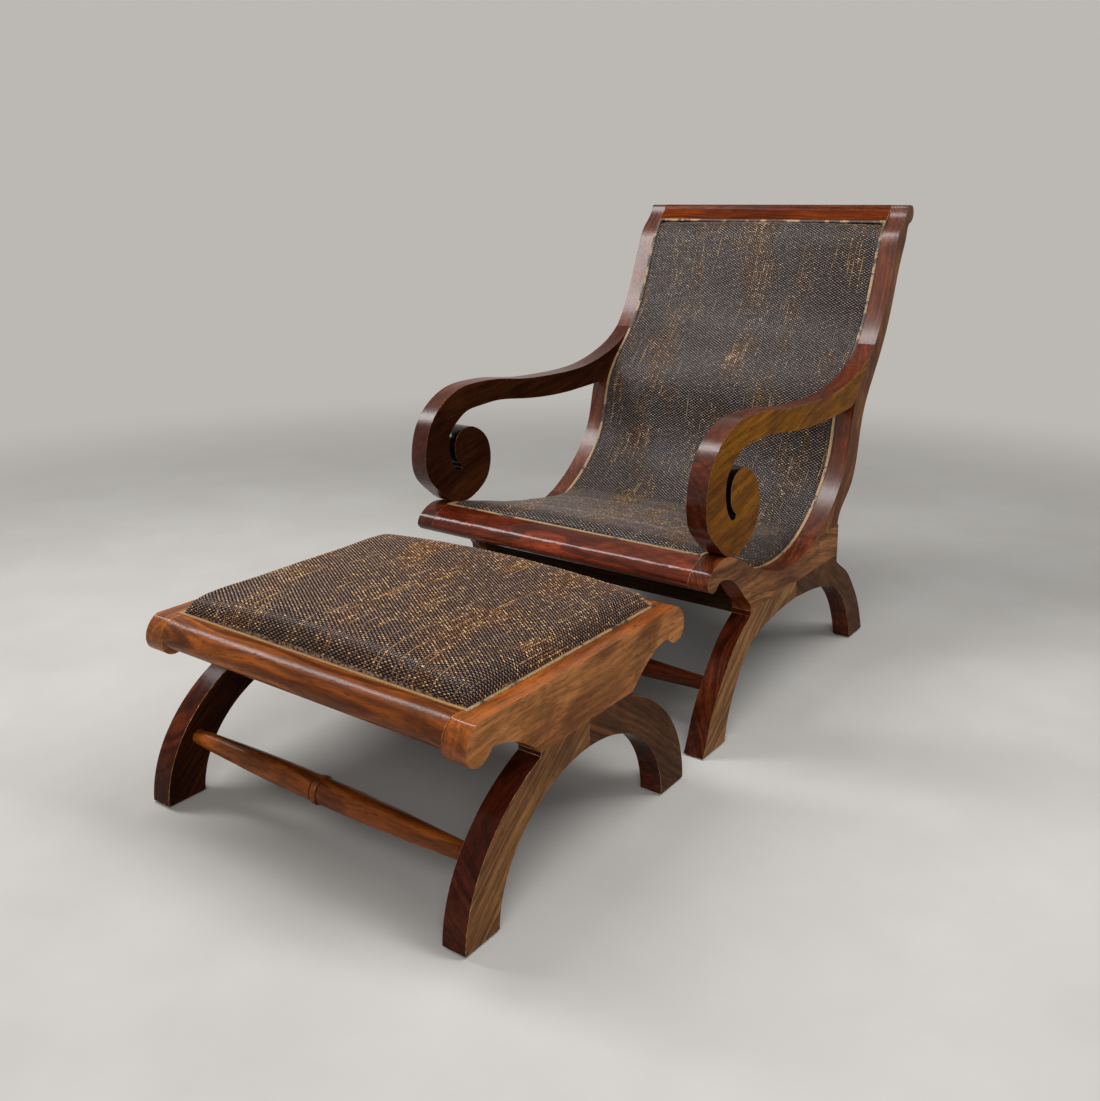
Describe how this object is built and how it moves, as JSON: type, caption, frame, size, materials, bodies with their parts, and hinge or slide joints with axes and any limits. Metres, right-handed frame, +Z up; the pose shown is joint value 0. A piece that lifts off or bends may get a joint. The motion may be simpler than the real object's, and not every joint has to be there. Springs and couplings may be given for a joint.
{
  "type": "planters chair",
  "caption": "Low hardwood lounge chair with rolled scroll arms, arched legs and one curved woven seat and back, with its matching woven footstool.",
  "frame": {"origin": "on the floor, midway between the left and right sides, and midway between the front of the footstool and the rear edge of the chair's crest", "axes": "+Z up, +Y from the footstool to the chair's back, +X to the left side of a person who sits in the chair"},
  "size_m": [0.66, 1.5941, 0.9508],
  "materials": {
    "polished_hardwood": "rubbed satin lacquer over red-brown hardwood",
    "woven_panel": "espresso coloured woven strands over stuffing",
    "rattan_beading": "pale rattan strip, satin",
    "inner_wood": "plain planed softwood",
    "foot_glides": "matte dark rubber"
  },
  "bodies": {
    "chair": {"left_seat_board": "polished_hardwood", "left_back_post": "polished_hardwood", "left_arm": "polished_hardwood", "left_front_leg": "polished_hardwood", "left_rear_leg": "polished_hardwood", "left_side_bead": "rattan_beading", "left_slat_cleat": "inner_wood", "right_seat_board": "polished_hardwood", "right_back_post": "polished_hardwood", "right_arm": "polished_hardwood", "right_front_leg": "polished_hardwood", "right_rear_leg": "polished_hardwood", "right_side_bead": "rattan_beading", "right_slat_cleat": "inner_wood", "front_seat_rail": "polished_hardwood", "top_rail": "polished_hardwood", "front_under_rail": "polished_hardwood", "rear_under_rail": "polished_hardwood", "front_bead": "rattan_beading", "top_bead": "rattan_beading", "woven_seat_and_back": "woven_panel", "front_stretcher": "polished_hardwood", "chair_dowels": "inner_wood", "chair_corner_blocks": "inner_wood", "chair_foot_glides": "foot_glides", "support_slat_01": "inner_wood", "support_slat_02": "inner_wood", "support_slat_03": "inner_wood", "support_slat_04": "inner_wood", "support_slat_05": "inner_wood", "support_slat_06": "inner_wood", "support_slat_07": "inner_wood", "support_slat_08": "inner_wood", "support_slat_09": "inner_wood", "support_slat_10": "inner_wood", "support_slat_11": "inner_wood", "support_slat_12": "inner_wood"},
    "footstool": {"left_stool_side_board": "polished_hardwood", "left_stool_front_leg": "polished_hardwood", "left_stool_rear_leg": "polished_hardwood", "left_stool_side_bead": "rattan_beading", "right_stool_side_board": "polished_hardwood", "right_stool_front_leg": "polished_hardwood", "right_stool_rear_leg": "polished_hardwood", "right_stool_side_bead": "rattan_beading", "stool_front_rail": "polished_hardwood", "stool_rear_rail": "polished_hardwood", "stool_front_bead": "rattan_beading", "stool_rear_bead": "rattan_beading", "stool_base_panel": "inner_wood", "stool_woven_pad": "woven_panel", "stool_stretcher": "polished_hardwood", "stool_dowels": "inner_wood", "stool_corner_blocks": "inner_wood", "stool_foot_glides": "foot_glides"}
  },
  "joints": [
    {"name": "footstool_slide", "type": "slide", "parent": "chair", "child": "footstool", "axis": [0, -1, 0], "range_m": [-0.06, 0.4]}
  ]
}
